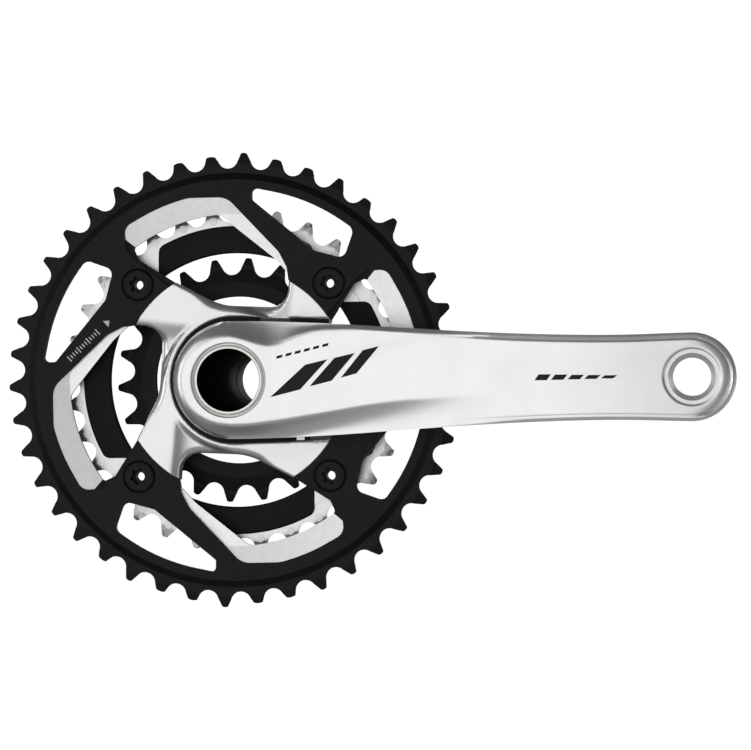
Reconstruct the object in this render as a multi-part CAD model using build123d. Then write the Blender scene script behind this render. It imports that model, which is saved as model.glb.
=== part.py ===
from build123d import *
import os
from math import cos, pi, radians, sin, tan

# Mountain-bike triple crankset: the drive-side crank with its hollow axle, three
# chainrings and the threaded outboard-bearing bottom bracket that it turns in.
# Millimetres. +Z is up, the axle lies along Y, the drive side faces -Y and the
# crank arm points along +X. The origin is on the axle, midway between bearings.

# ---- driving dimensions ------------------------------------------------------
chain_pitch = 12.7                  # half-inch bicycle chain
roller_seat_r = 3.95                # chain roller radius plus running room
outer_teeth = 42
middle_teeth = 32
inner_teeth = 22
outer_bolt_circle_r = 52.0          # 104 mm bolt circle
inner_bolt_circle_r = 32.0          # 64 mm bolt circle
bolt_angles = (45, 135, 225, 315)

chain_line = 50.0                   # middle ring from the frame's centre plane
outer_ring_y = -(chain_line + 8.0)
middle_ring_y = -chain_line
inner_ring_y = -(chain_line - 8.0)
tooth_width = 2.1

arm_length = 175.0                  # axle centre to pedal centre
hub_face_y = -80.0
arm_tip_face_y = -89.0
arm_tip_back_y = -75.6
hub_r = 22.3
arm_end_r = 16.6
pedal_thread_r = 7.14               # 9/16 inch pedal thread
seam_gap = 1.3                      # dark joint line between the arm and spider

axle_r = 12.0                       # 24 mm hollow axle
axle_bore_r = 10.9
axle_tip_bore_r = 10.6
axle_tip_y = 61.0

ring_face_y = -60.8                 # outer ring's body and the spider share this
ring_back_y = outer_ring_y + tooth_width / 2
tab_back_y = -51.9
lobe_inner_r = 43.6
slot_outer_r = 73.6
window_outer_r = 63.6
recess_outer_r = 71.8

shell_half = 36.5                   # 73 mm bottom bracket shell
shell_spacer = 2.5
cup_thread_r = 17.4                 # 1.37 inch x 24 tpi cup thread
cup_flange_r = 22.0
cup_flange_width = 9.3
bearing_width = 7.0
ball_r = 1.6
ball_pitch_r = 15.5
ball_count = 17
ball_clearance = 0.06


# ---- helpers -----------------------------------------------------------------
def polar(r, degrees):
    """Point in the ring plane, measured from the arm's direction towards +Z."""
    return (r * cos(radians(degrees)), r * sin(radians(degrees)))


def plate(sketch, y_out, y_in):
    """Extrude a ring-plane sketch between two stations along the axle."""
    return extrude(Plane.XZ.offset(-y_in) * sketch, y_in - y_out)


def disc(r, y_out, y_in, x=0, z=0):
    """Solid round along Y between two stations."""
    return plate(Pos(x, z) * Circle(r), y_out, y_in)


def tube(r_out, r_in, y_out, y_in, x=0, z=0):
    """Hollow round along Y between two stations."""
    return plate(Pos(x, z) * (Circle(r_out) - Circle(r_in)), y_out, y_in)


def lathe(profile, x=0, z=0):
    """Turn a closed outline of (radius, y) points about an axis along Y."""
    face = make_face(Polyline(*profile, close=True))
    return Pos(x, 0, z) * revolve(face, Axis.Y, 360)


def around(shape, angles):
    """Copies of a shape turned about the axle; angles run from +X towards +Z."""
    return [Rot(0, -a, 0) * shape for a in angles]


def in_four(shape):
    return around(shape, (0, 90, 180, 270))


def joined(shapes):
    """Fuse a list of overlapping shapes into one."""
    whole = shapes[0]
    for shape in shapes[1:]:
        whole = whole + shape
    return whole


def without(shape, cutters):
    for cutter in cutters:
        shape = shape - cutter
    return shape


def outline(points):
    return make_face(Polyline(*points, close=True))


def rounded(corners):
    """Closed outline through corners (x, z, radius), each rounded to its radius."""
    starts = []
    middles = []
    ends = []
    count = len(corners)
    for k in range(count):
        x, z, r = corners[k]
        here = Vector(x, z)
        back = (Vector(*corners[k - 1][:2]) - here).normalized()
        ahead = (Vector(*corners[(k + 1) % count][:2]) - here).normalized()
        half = radians(back.get_angle(ahead) / 2)
        starts.append(here + back * (r / tan(half)))
        ends.append(here + ahead * (r / tan(half)))
        inward = (back + ahead).normalized()
        middles.append(here + inward * (r / sin(half) - r))
    edges = []
    for k in range(count):
        if corners[k][2] > 0:
            edges.append(ThreePointArc(starts[k], middles[k], ends[k]))
        following = starts[(k + 1) % count]
        if (following - ends[k]).length > 0.001:
            edges.append(Line(ends[k], following))
    return make_face(Wire(edges))


def arc_corner(r, start, end):
    """Corner whose rounding to radius r follows a circle about the axle."""
    x, z = polar(r / cos(radians(start - end) / 2), (start + end) / 2)
    return (x, z, r)


def tangent_corner(r, at, along, rounding):
    """Corner on the tangent of a circle about the axle, anticlockwise if positive."""
    x, z = polar(r, at)
    a = radians(at)
    return (x - along * sin(a), z + along * cos(a), rounding)


# ---- chainring teeth ---------------------------------------------------------
def seat_point(seat, pitch_r, along, out):
    """Point beside a roller seat: along the pitch circle, and outwards."""
    a = radians(seat)
    r = pitch_r + out
    return (r * cos(a) - along * sin(a), r * sin(a) + along * cos(a))


def toothed_disc(teeth, tip_height, first, blunt=(), lean=0.0):
    """Disc with roller seats between teeth; blunt teeth are cut short for shifting."""
    pitch_r = chain_pitch / (2 * sin(pi / teeth))
    step = 360 / teeth
    side = roller_seat_r * cos(radians(20))
    drop = -roller_seat_r * sin(radians(20))
    edges = []
    for k in range(teeth):
        seat = first + (k + 0.5) * step
        next_tooth = first + (k + 1) * step
        tip = tip_height
        half_tip = 1.15
        if (k + 1) % teeth in blunt:
            tip = tip_height - 1.2
            half_tip = 1.7
        start = seat_point(seat, pitch_r, -side, drop)
        bottom = seat_point(seat, pitch_r, 0, -roller_seat_r)
        end = seat_point(seat, pitch_r, side, drop)
        tip_start = seat_point(next_tooth, pitch_r, lean - half_tip, tip - 0.35)
        tip_mid = seat_point(next_tooth, pitch_r, lean, tip)
        tip_end = seat_point(next_tooth, pitch_r, lean + half_tip, tip - 0.35)
        next_start = seat_point(seat + step, pitch_r, -side, drop)
        edges.append(ThreePointArc(start, bottom, end))
        edges.append(Line(end, tip_start))
        edges.append(ThreePointArc(tip_start, tip_mid, tip_end))
        edges.append(Line(tip_end, next_start))
    return make_face(Wire(edges))


def tooth_band(centre_y, root_r, tip_r, width=tooth_width):
    """Profile points of a tooth rim whose tip is ground thinner on both sides."""
    half = width / 2
    return [(root_r, centre_y - half), (tip_r - 4.2, centre_y - half),
            (tip_r + 1, centre_y - half + 0.75), (tip_r + 1, centre_y + half - 0.75),
            (tip_r - 4.2, centre_y + half), (root_r, centre_y + half)]


# ---- outer chainring ---------------------------------------------------------
def slot_outline():
    """Long closed slot beside each bolt lobe."""
    r = slot_outer_r
    return rounded([(7.4, 68.8, 1.4), (31.0, 49.3, 2.5), (42.6, 46.2, 3.0),
                    tangent_corner(r, 54.5, -4.6, 3.2), arc_corner(r, 54.5, 78.5),
                    tangent_corner(r, 78.5, 7.4, 1.8)])


def window_outline():
    """Window open to the ring's middle, between two bolt lobes."""
    r = window_outer_r
    return rounded([(-22.3, 37.3, 0), (-36.5, 46.3, 1.5), tangent_corner(r, 123, 4.7, 1.5),
                    arc_corner(r, 123, 98), tangent_corner(r, 98, -3.5, 4.5),
                    (15.4, 46.8, 8), (20.8, 41.0, 0), (21.3, 37.6, 0), (0, 20, 0)])


def recess_outline():
    """Edge of the machined band that runs round a window and fades out at its tip."""
    r = recess_outer_r
    return rounded([(-22.3, 34.0, 0), (-36.8, 45.6, 0), (-41.2, 50.4, 3),
                    tangent_corner(r, 120, 6.8, 4.5), arc_corner(r, 120, 106),
                    tangent_corner(r, 106, -2.6, 12), (-2.4, 70.0, 8), (17.6, 48.9, 6),
                    (20.6, 43.0, 0), (21.3, 37.6, 0), (0, 20, 0)])


def outer_ring_openings():
    """Everything cut out of the ring for one quarter turn."""
    return window_outline() + slot_outline()


def machined_recess():
    """Sloping machined band round each window: deepest at the window's edge."""
    slope = lathe([(recess_outer_r + 0.9, ring_face_y - 1),
                   (recess_outer_r + 0.9, ring_face_y + 0.25),
                   (window_outer_r, ring_face_y + 1.9),
                   (20, ring_face_y + 1.9), (20, ring_face_y - 1)])
    return plate(recess_outline(), ring_face_y - 1, ring_face_y + 3) & slope


def outer_chainring():
    tip_height = 2.15
    blunt = (6, 8, 9, 11, 12, 27, 29, 30, 32, 33)
    teeth = toothed_disc(outer_teeth, tip_height, 1.3, blunt, lean=0.25)
    teeth = teeth - Circle(lobe_inner_r)
    for a in (0, 90, 180, 270):
        teeth = teeth - Rot(0, 0, a) * outer_ring_openings()
    for a in bolt_angles:
        teeth = teeth - Pos(*polar(outer_bolt_circle_r, a)) * Circle(5.05)
    rim_r = 79.3
    shoulder_r = 76.8
    tooth_front = outer_ring_y - tooth_width / 2
    rim = tooth_band(outer_ring_y, rim_r, 87.1)
    profile = [(30, ring_face_y), (shoulder_r, ring_face_y), (rim_r, tooth_front)]
    blank = lathe(profile + rim[1:5] + [(30, ring_back_y)])
    ring = plate(teeth, ring_face_y - 1, ring_back_y + 1) & blank
    ring = without(ring, in_four(machined_recess()))
    for a in bolt_angles:
        x, z = polar(outer_bolt_circle_r, a)
        ring = ring - disc(6.35, ring_face_y - 1, -58.6, x, z)
    ramp = disc(2.0, ring_back_y - 0.6, ring_back_y + 1, 78.2, 0)
    ring = without(ring, around(ramp, shift_pin_angles()))
    pin_x, pin_z = polar(78.0, 3.0)
    return ring - disc(1.6, ring_face_y - 2, ring_back_y + 1, pin_x, pin_z)


def shift_pin_angles():
    return (62, 114, 242, 294)


def outer_ring_shift_pins():
    """Steel pins on the ring's back that lift the chain while shifting."""
    pin = disc(2.0, ring_back_y - 0.6, ring_back_y + 1.7, 78.2, 0)
    return around(pin, shift_pin_angles())


def chain_drop_pin():
    """Stops a dropped chain from wedging between the ring and the arm."""
    x, z = polar(78.0, 3.0)
    head = disc(2.6, -65.4, -61.4, x, z)
    shank = disc(1.6, -61.4, ring_back_y, x, z)
    return head + shank


# ---- middle chainring --------------------------------------------------------
carrier_half = 29.8
carrier_outer_r = 59.3
carrier_inner_r = 48.8
steel_inner_r = 56.5


def middle_pin_angles():
    return [8.1 + k * 360 / middle_teeth for k in range(middle_teeth)]


def middle_chainring():
    """Steel toothed ring with four tabs that reach in to the bolts."""
    front = middle_ring_y - 1
    back = middle_ring_y + 1
    teeth = toothed_disc(middle_teeth, 1.9, 8.1, lean=0.2)
    ring = teeth - Circle(steel_inner_r)
    for a in middle_pin_angles():
        ring = ring - Pos(*polar(61.6, a)) * Circle(1.5)
    ring = plate(ring, front - 1, back + 1) & lathe(tooth_band(middle_ring_y, 50, 66.7, 2))
    gap = carrier_half + 0.05
    corner = outline([(gap, gap), (70, gap), (70, 70), (gap, 70)])
    band = Circle(steel_inner_r + 1.2) - Circle(44.6)
    tab = corner & band
    lug = plate(tab & Circle(steel_inner_r - 0.1), tab_back_y, back)
    ring = joined([ring] + in_four(plate(tab, front, back)) + in_four(lug))
    x, z = polar(outer_bolt_circle_r, 45)
    return without(ring, in_four(disc(5.05, -55, -45, x, z)))


def middle_ring_carrier():
    """Four moulded composite sections that stiffen the steel between its tabs."""
    front = middle_ring_y - 1.85
    profile = [(carrier_inner_r, front + 0.5), (carrier_inner_r + 0.5, front),
               (carrier_outer_r - 0.6, front), (carrier_outer_r, middle_ring_y - 1.3),
               (carrier_outer_r, middle_ring_y - 1), (steel_inner_r, middle_ring_y - 1),
               (steel_inner_r, middle_ring_y + 1.6), (carrier_inner_r, middle_ring_y + 1.6)]
    side = carrier_half - 0.05
    end = 116
    reach = (side + carrier_outer_r * cos(radians(end))) / sin(radians(end))
    r = carrier_outer_r
    strip = rounded([(-side, 36, 0), tangent_corner(r, end, reach, 3.6),
                     arc_corner(r, end, 180 - end),
                     tangent_corner(r, 180 - end, -reach, 3.6), (side, 36, 0)])
    section = lathe(profile) & plate(strip, -60, -40)
    return in_four(section)


def middle_ring_pins():
    """Small rivets, one under each tooth of the middle ring."""
    x, z = polar(61.6, 0)
    pin = disc(1.5, middle_ring_y - 1.35, middle_ring_y + 1.2, x, z)
    return around(pin, middle_pin_angles())


# ---- inner chainring ---------------------------------------------------------
inner_ring_front = inner_ring_y - 2.2
inner_ring_back = inner_ring_y + 1.8


def inner_chainring():
    teeth = toothed_disc(inner_teeth, 2.7, 3.3)
    hole = Circle(32.2)
    for a in bolt_angles:
        hole = hole - Pos(*polar(inner_bolt_circle_r, a)) * Circle(7.2)
        hole = hole - Pos(*polar(inner_bolt_circle_r + 6, a)) * Circle(9.5)
    sketch = teeth - hole
    for a in bolt_angles:
        sketch = sketch - Pos(*polar(inner_bolt_circle_r, a)) * Circle(4.05)
    half = tooth_width / 2
    blank = lathe([(20, inner_ring_front), (37.6, inner_ring_front),
                   (43.0, inner_ring_y - half), (44.0, inner_ring_y - half),
                   (48.6, inner_ring_y - 0.4), (48.6, inner_ring_y + 0.4),
                   (44.0, inner_ring_y + half), (43.0, inner_ring_y + half),
                   (37.6, inner_ring_back), (20, inner_ring_back)])
    return plate(sketch, inner_ring_front - 1, inner_ring_back + 1) & blank


# ---- chainring fasteners -----------------------------------------------------
def star_socket(r):
    """Six-lobed driver socket."""
    star = Circle(r * 0.8)
    for k in range(6):
        star = star + Pos(*polar(r * 0.74, 60 * k + 15)) * Circle(r * 0.27)
    return star


bolt_head_front = -61.4
bolt_head_back = -58.6


def outer_ring_bolts():
    """Hollow bolts through the outer ring's lobes, with a shallow head groove."""
    x, z = polar(outer_bolt_circle_r, 45)
    head = lathe([(0, bolt_head_front), (5.3, bolt_head_front),
                  (6.0, bolt_head_front + 0.6), (6.0, bolt_head_back), (0, bolt_head_back)],
                 x, z)
    groove = tube(4.9, 4.3, bolt_head_front - 1, bolt_head_front + 0.3, x, z)
    shank = disc(4.0, bolt_head_back, -50.6, x, z)
    socket = plate(Pos(x, z) * star_socket(3.3), bolt_head_front - 1, -57.6)
    bore = disc(1.7, bolt_head_front - 1, -50, x, z)
    return around(head + shank - groove - socket - bore, (0, 90, 180, 270))


def outer_ring_nuts():
    """Sleeve nuts: the barrel centres ring, spider tab and middle ring."""
    x, z = polar(outer_bolt_circle_r, 45)
    barrel = tube(5.0, 4.0, -58.4, -49, x, z)
    flange = lathe([(3.2, -49.0), (6.6, -49.0), (6.6, -48.0), (6.0, -47.4), (3.2, -47.4)],
                   x, z)
    slot = plate(Pos(x, z) * Rot(0, 0, 45) * Rectangle(14, 2), -48.3, -46)
    return in_four(barrel + flange - slot)


def inner_ring_bolts():
    """Socket-head bolts that hold the inner ring against the spider's bosses."""
    x, z = polar(inner_bolt_circle_r, 45)
    back = inner_ring_back
    shank = disc(4.0, -52.5, back, x, z)
    head = lathe([(0, back), (6.0, back), (6.0, back + 2.2), (5.4, back + 2.8),
                  (0, back + 2.8)], x, z)
    socket = plate(Pos(x, z) * RegularPolygon(2.9, 6), back + 0.4, back + 4)
    return in_four(shank + head - socket)


# ---- spider ------------------------------------------------------------------
spider_bore_r = 19.0
dish_edge_r = 18.0
collar_face_y = -63.9


def spider_window(inset):
    """Gap between two spider arms, whose edge can be moved into the spider."""
    return rounded([(-22.3, 37.3 - inset, 0), (-5.2, 28.6 - inset, 24),
                    (20.6 + inset, 27.6 - inset, 7), (21.3 + 0.5 * inset, 37.6, 0),
                    (21.3, 60, 0), (-22.3, 60, 0)])


def spider_outline(inset):
    """Pinwheel body: four windows' edges joined by arcs at the ring's lobes."""
    shape = Circle(lobe_inner_r)
    for a in (0, 90, 180, 270):
        shape = shape - Rot(0, 0, a) * spider_window(inset)
    return shape


def spider_tab():
    """Tab that steps down behind the outer ring's lobe to one bolt."""
    root_half = 9.0
    end_half = 7.6
    reach = outer_bolt_circle_r
    tab = outline([(38, -root_half), (reach, -end_half), (reach, end_half), (38, root_half)])
    tab = tab + Pos(reach, 0) * Circle(end_half)
    return Rot(0, 0, 45) * (tab - Pos(reach, 0) * Circle(5.05))


def spider_plate():
    """Flat pinwheel whose window edges are bevelled on the outer face."""
    body = plate(spider_outline(0), ring_face_y, tab_back_y)
    bevel_depth = 2.6
    start = Plane.XZ.offset(-(ring_face_y + bevel_depth)) * spider_window(0)
    bevel = extrude(start, bevel_depth + 0.4, taper=-40)
    return without(body, in_four(bevel))


def corner_dish():
    """Shallow cone sunk into the spider's face round one window's tight corner."""
    slope = 0.27
    near = ring_face_y + slope * (dish_edge_r - 6)
    far = ring_face_y - slope * (32 - dish_edge_r)
    return lathe([(0, -75), (32, -75), (32, far), (6, near), (0, near)], 13.4, 34.4)


def arm_pocket():
    """Recess in the spider's face that leaves an even gap round the arm."""
    near = hub_r + seam_gap
    far = 20.7 + seam_gap
    channel = outline([(0, -near), (55, -far), (55, far), (0, near)])
    return channel + Circle(near)


def spider():
    """Four-armed spider pressed on the arm's hub, with bosses for the inner ring."""
    collar = lathe([(20, collar_face_y), (25.4, collar_face_y), (26.6, collar_face_y + 0.9),
                    (33.0, ring_face_y - 0.2), (36.0, ring_face_y + 0.3),
                    (36.0, -56), (20, -56)])
    body = spider_plate() + (collar & plate(spider_outline(2.2), -70, -50))
    body = without(body, in_four(corner_dish()))
    body = joined([body] + in_four(plate(spider_tab(), ring_back_y, tab_back_y)))
    x, z = polar(inner_bolt_circle_r, 45)
    boss = lathe([(0, -53), (8.0, -53), (6.6, -50), (6.6, inner_ring_front),
                  (0, inner_ring_front)], x, z)
    body = joined([body] + in_four(boss))
    body = body + disc(24.0, -56, -49.7)
    body = without(body, in_four(disc(4.0, -52.5, inner_ring_front + 1, x, z)))
    body = body - disc(spider_bore_r, -75, -45)
    return body - plate(arm_pocket(), -75, ring_face_y + 0.4)


# ---- crank arm ---------------------------------------------------------------
def arm_outline():
    """Front view of the arm: round hub, tapering beam, round pedal end."""
    upper = [(0, hub_r), (40, 21.0), (67, 19.2), (92, 17.6), (118, 16.4), (146, 15.9),
             (arm_length, arm_end_r)]
    lower = [(x, -z) for x, z in reversed(upper)]
    top = Spline(*upper, tangents=[(1, 0), (1, 0.02)])
    bottom = Spline(*lower, tangents=[(-1, 0.02), (-1, 0)])
    tip = ThreePointArc(upper[-1], (arm_length + arm_end_r, 0), lower[0])
    hub = ThreePointArc(lower[-1], (-hub_r, 0), upper[0])
    return make_face(Wire([top, tip, bottom, hub]))


def arm_side():
    """Side view of the arm: it leans outwards to clear the frame."""
    front = Spline((14, hub_face_y), (50, -82.0), (95, -85.6), (135, -88.4),
                   (158, arm_tip_face_y), tangents=[(1, 0), (1, 0)])
    back = Spline((155, arm_tip_back_y), (125, -74.4), (90, -70.2), (62, -66.0),
                  (34, -62.1), tangents=[(-1, 0.0), (-1, 0.0)])
    tip_x = arm_length + arm_end_r + 3
    start = Line((-hub_r - 3, hub_face_y), (14, hub_face_y))
    flat = Line((158, arm_tip_face_y), (tip_x, arm_tip_face_y))
    end = Line((tip_x, arm_tip_face_y), (tip_x, arm_tip_back_y))
    under = Line((tip_x, arm_tip_back_y), (155, arm_tip_back_y))
    seat = Line((34, -62.1), (-hub_r - 3, -62.1))
    close = Line((-hub_r - 3, -62.1), (-hub_r - 3, hub_face_y))
    return make_face(Wire([start, front, flat, end, under, back, seat, close]))


def arm_hollow():
    """Closed cavity along the beam: the arm is forged hollow, with walls near 2.8 mm."""
    start, end = 25, 156.5
    front = [(start, -77.3), (50, -79.3), (72, -80.9), (95, -82.8), (116, -84.4),
             (136, -85.6), (end, -86.2)]
    back = [(end, -78.4), (136, -77.9), (116, -76.5), (95, -73.7), (78, -71.4),
            (62, -69.2), (44, -66.4), (start, -65.0)]
    side = extrude(make_face(Polyline(*front, *back, close=True)), 40, both=True)
    top = rounded([(start, -13.8, 3), (60, -13.6, 0), (110, -12.8, 0), (end, -12.2, 3),
                   (end, 12.2, 3), (110, 12.8, 0), (60, 13.6, 0), (start, 13.8, 3)])
    return side & plate(top, -95, -55)


def hub_bevel():
    """Wide bevel round the hub's free side."""
    cone = lathe([(16.9, hub_face_y), (hub_r + 0.6, -74.9), (hub_r + 6, -74.9),
                  (hub_r + 6, -90), (16.9, -90)])
    return cone & Pos(-50, -80, 0) * Box(100, 60, 100)


def scoop(stations, side):
    """Bevel along one edge of the arm that fades out away from the hub."""
    sections = []
    for x, face_y, inner_z, edge_y in stations:
        far = hub_r + 6
        points = [(x, face_y, side * inner_z), (x, edge_y, side * (hub_r + 0.6)),
                  (x, edge_y, side * far), (x, -95, side * far), (x, -95, side * inner_z)]
        sections.append(make_face(Polyline(*points, close=True)))
    return loft(sections, ruled=True)


def crank_arm():
    body = plate(arm_outline(), -100, -55)
    side = extrude(arm_side(), 40, both=True)
    body = body & side
    edge_list = ShapeList()
    for edge in body.edges():
        mid = edge.position_at(0.5)
        if mid.Y < -79.5 and abs(edge.tangent_at(0.5).Y) < 0.6:
            edge_list.append(edge)
    body = chamfer(edge_list, 1.9)
    body = body - hub_bevel()
    upper = [(-0.01, hub_face_y, 16.9, -74.9), (16, -80.1, 15.4, -74.6),
             (34, -80.9, 19.2, -78.6)]
    lower = [(-0.01, hub_face_y, 16.9, -74.9), (50, -82.1, 16.6, -78.6),
             (108, -86.9, 14.8, -83.9)]
    body = body - scoop(upper, 1) - scoop(lower, -1)
    boss = disc(spider_bore_r, -63, -49.3)
    body = body + boss - arm_hollow()
    body = body - disc(14.3, -81, -78.6) - disc(13.3, -79, -62) - disc(axle_r, -63, -45)
    return finish_pedal_end(body)


def finish_pedal_end(body):
    """Threaded eye with raised washer faces on both sides."""
    land_r = 10.9
    front = lathe([(land_r, arm_tip_face_y), (13.6, arm_tip_face_y - 0.01),
                   (13.6, arm_tip_face_y - 1), (land_r, arm_tip_face_y - 1)], arm_length)
    dish = lathe([(land_r, arm_tip_face_y + 0.45), (11.6, arm_tip_face_y + 0.45),
                  (14.2, arm_tip_face_y - 0.02), (14.2, arm_tip_face_y - 1),
                  (land_r, arm_tip_face_y - 1)], arm_length)
    back = lathe([(land_r, arm_tip_back_y - 0.45), (11.6, arm_tip_back_y - 0.45),
                  (13.4, arm_tip_back_y + 0.02), (13.4, arm_tip_back_y + 1),
                  (land_r, arm_tip_back_y + 1)], arm_length)
    sink = lathe([(0, arm_tip_face_y - 1), (8.9, arm_tip_face_y - 1), (8.9, arm_tip_face_y),
                  (pedal_thread_r, arm_tip_face_y + 1.7), (0, arm_tip_face_y + 1.7)],
                 arm_length)
    under = lathe([(0, arm_tip_back_y + 1), (8.4, arm_tip_back_y + 1), (8.4, arm_tip_back_y),
                   (pedal_thread_r, arm_tip_back_y - 1.2), (0, arm_tip_back_y - 1.2)],
                  arm_length)
    hole = disc(pedal_thread_r, -95, -70, arm_length)
    return body - dish - back - sink - under - hole


# ---- axle --------------------------------------------------------------------
def axle():
    """Hollow steel axle: wider where the arm holds it, splined at the far end."""
    mouth_y = -79.3
    profile = [(13.3, mouth_y + 0.3), (13.0, mouth_y), (12.0, mouth_y), (11.8, mouth_y + 0.3),
               (11.8, -66), (axle_bore_r, -63.4), (axle_bore_r, 40),
               (axle_tip_bore_r, 40.5), (axle_tip_bore_r, axle_tip_y),
               (11.4, axle_tip_y), (axle_r, axle_tip_y - 0.6),
               (axle_r, -62), (13.3, -62)]
    shaft = lathe(profile)
    count = 32
    groove = plate(Pos(axle_r + 0.25, 0) * Circle(0.75), 48.4, axle_tip_y + 1)
    missing = (0, 16)
    for k in range(count):
        if k not in missing:
            shaft = shaft - Rot(0, k * 360 / count, 0) * groove
    return shaft


# ---- bottom bracket ----------------------------------------------------------
right_flange_in = -(shell_half + shell_spacer)
left_flange_in = shell_half
right_bearing_y = right_flange_in - 5.5
left_bearing_y = left_flange_in + 5.5
outer_race_r = 18.5
outer_race_inner_r = 16.5
inner_race_r = 14.5
sleeve_r = 12.5


def cup(sign, flange_in):
    """Threaded cup with a notched flange that carries the bearing."""
    def y(depth):
        return flange_in + sign * depth
    thread_len = 18.0
    relief = 2.5
    face = cup_flange_width
    bearing_in = 5.5 - bearing_width / 2
    profile = [(cup_thread_r, y(-thread_len)), (cup_thread_r, y(-relief)),
               (16.9, y(-relief)), (16.9, y(0)), (cup_flange_r, y(0)),
               (cup_flange_r, y(face - 1.2)), (cup_flange_r - 1.2, y(face)),
               (outer_race_r, y(face)), (outer_race_r, y(bearing_in)),
               (15.8, y(bearing_in)), (15.8, y(-thread_len))]
    body = lathe(profile)
    near, far = sorted((y(1.2), y(face + 1)))
    notch = disc(2.4, near, far, cup_flange_r + 1.1, 0)
    return without(body, around(notch, [k * 360 / 16 for k in range(16)]))


def race_groove(y):
    """Ring-shaped track for the balls."""
    section = Pos(ball_pitch_r, y) * Circle(ball_r + ball_clearance)
    return revolve(section, Axis.Y, 360)


def outer_race(y):
    half = bearing_width / 2
    return tube(outer_race_r, outer_race_inner_r, y - half, y + half) - race_groove(y)


def inner_race(y):
    half = bearing_width / 2
    return tube(inner_race_r, sleeve_r, y - half, y + half) - race_groove(y)


def bearing_seals(y):
    """Two thin shields held by the outer race, clear of the inner race."""
    half = bearing_width / 2
    shield_out = tube(outer_race_inner_r, inner_race_r + 0.15, y - half + 0.1, y - half + 0.7)
    shield_in = tube(outer_race_inner_r, inner_race_r + 0.15, y + half - 0.7, y + half - 0.1)
    return [shield_out, shield_in]


def ball(y, k):
    x, z = polar(ball_pitch_r, k * 360 / ball_count)
    return Pos(x, y, z) * Sphere(ball_r)


def bearing_balls(y):
    return [ball(y, k) for k in range(ball_count)]


def ball_cage(y):
    """Moulded cage whose round pockets keep the balls apart."""
    cage = tube(ball_pitch_r + 0.8, ball_pitch_r - 0.8, y - 2.5, y + 2.5)
    pocket = Pos(ball_pitch_r, y, 0) * Rot(0, 90, 0) * Cylinder(ball_r + 0.02, 4)
    return without(cage, around(pocket, [k * 360 / ball_count for k in range(ball_count)]))


def bearing_sleeve(sign, bearing_y, flange_in):
    """Plastic sleeve between axle and bearing, with a flange that keeps dirt out."""
    face = flange_in + sign * cup_flange_width
    inner = bearing_y - sign * 3.2
    flange_near, flange_far = sorted((face + sign * 0.3, face + sign * 1.0))
    sleeve_near, sleeve_far = sorted((inner, face + sign * 1.0))
    flange = tube(18.2, axle_r, flange_near, flange_far)
    return tube(sleeve_r, axle_r, sleeve_near, sleeve_far) + flange


def centre_sleeve():
    """Plastic tube between the cups that keeps water off the axle."""
    body = tube(14.6, 13.4, -34.0, 32.0)
    ends = tube(15.5, 13.4, -34.0, -29.0) + tube(15.5, 13.4, 27.0, 32.0)
    rings = race_of_seal(-31.5) + race_of_seal(29.5)
    return body + ends - rings


def race_of_seal(y):
    return tube(16, 14.9, y - 0.9, y + 0.9)


def sleeve_seals():
    """Rubber rings between the centre sleeve and the cups."""
    return [tube(15.8, 14.9, y - 0.9, y + 0.9) for y in (-31.5, 29.5)]


def shell_spacer_ring():
    return tube(21.5, 17.6, right_flange_in, -shell_half)


# ---- write every piece -------------------------------------------------------
def save(name, shape):
    if isinstance(shape, list):
        shape = Compound([piece.solid() for piece in shape])
    export_step(shape, "parts/" + name + ".step")


os.makedirs("parts", exist_ok=True)
save("crank_arm", crank_arm())
save("spider", spider())
save("axle", axle())
save("outer_chainring", outer_chainring())
save("outer_ring_shift_pins", outer_ring_shift_pins())
save("chain_drop_pin", chain_drop_pin())
save("middle_chainring", middle_chainring())
save("middle_ring_carrier", middle_ring_carrier())
save("middle_ring_pins", middle_ring_pins())
save("inner_chainring", inner_chainring())
save("outer_ring_bolts", outer_ring_bolts())
save("outer_ring_nuts", outer_ring_nuts())
save("inner_ring_bolts", inner_ring_bolts())
save("right_bearing_sleeve", bearing_sleeve(-1, right_bearing_y, right_flange_in))
save("left_bearing_sleeve", bearing_sleeve(1, left_bearing_y, left_flange_in))
save("right_inner_race", inner_race(right_bearing_y))
save("left_inner_race", inner_race(left_bearing_y))
save("right_outer_race", outer_race(right_bearing_y))
save("left_outer_race", outer_race(left_bearing_y))
save("right_bearing_seals", bearing_seals(right_bearing_y))
save("left_bearing_seals", bearing_seals(left_bearing_y))
save("right_balls", bearing_balls(right_bearing_y))
save("left_balls", bearing_balls(left_bearing_y))
save("right_ball_cage", ball_cage(right_bearing_y))
save("left_ball_cage", ball_cage(left_bearing_y))
save("right_cup", cup(-1, right_flange_in))
save("left_cup", cup(1, left_flange_in))
save("centre_sleeve", centre_sleeve())
save("sleeve_seals", sleeve_seals())
save("shell_spacer", shell_spacer_ring())
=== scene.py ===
import math
import bmesh
import bpy
import numpy as np
from mathutils import Matrix, Vector
from mathutils.geometry import delaunay_2d_cdt


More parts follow.
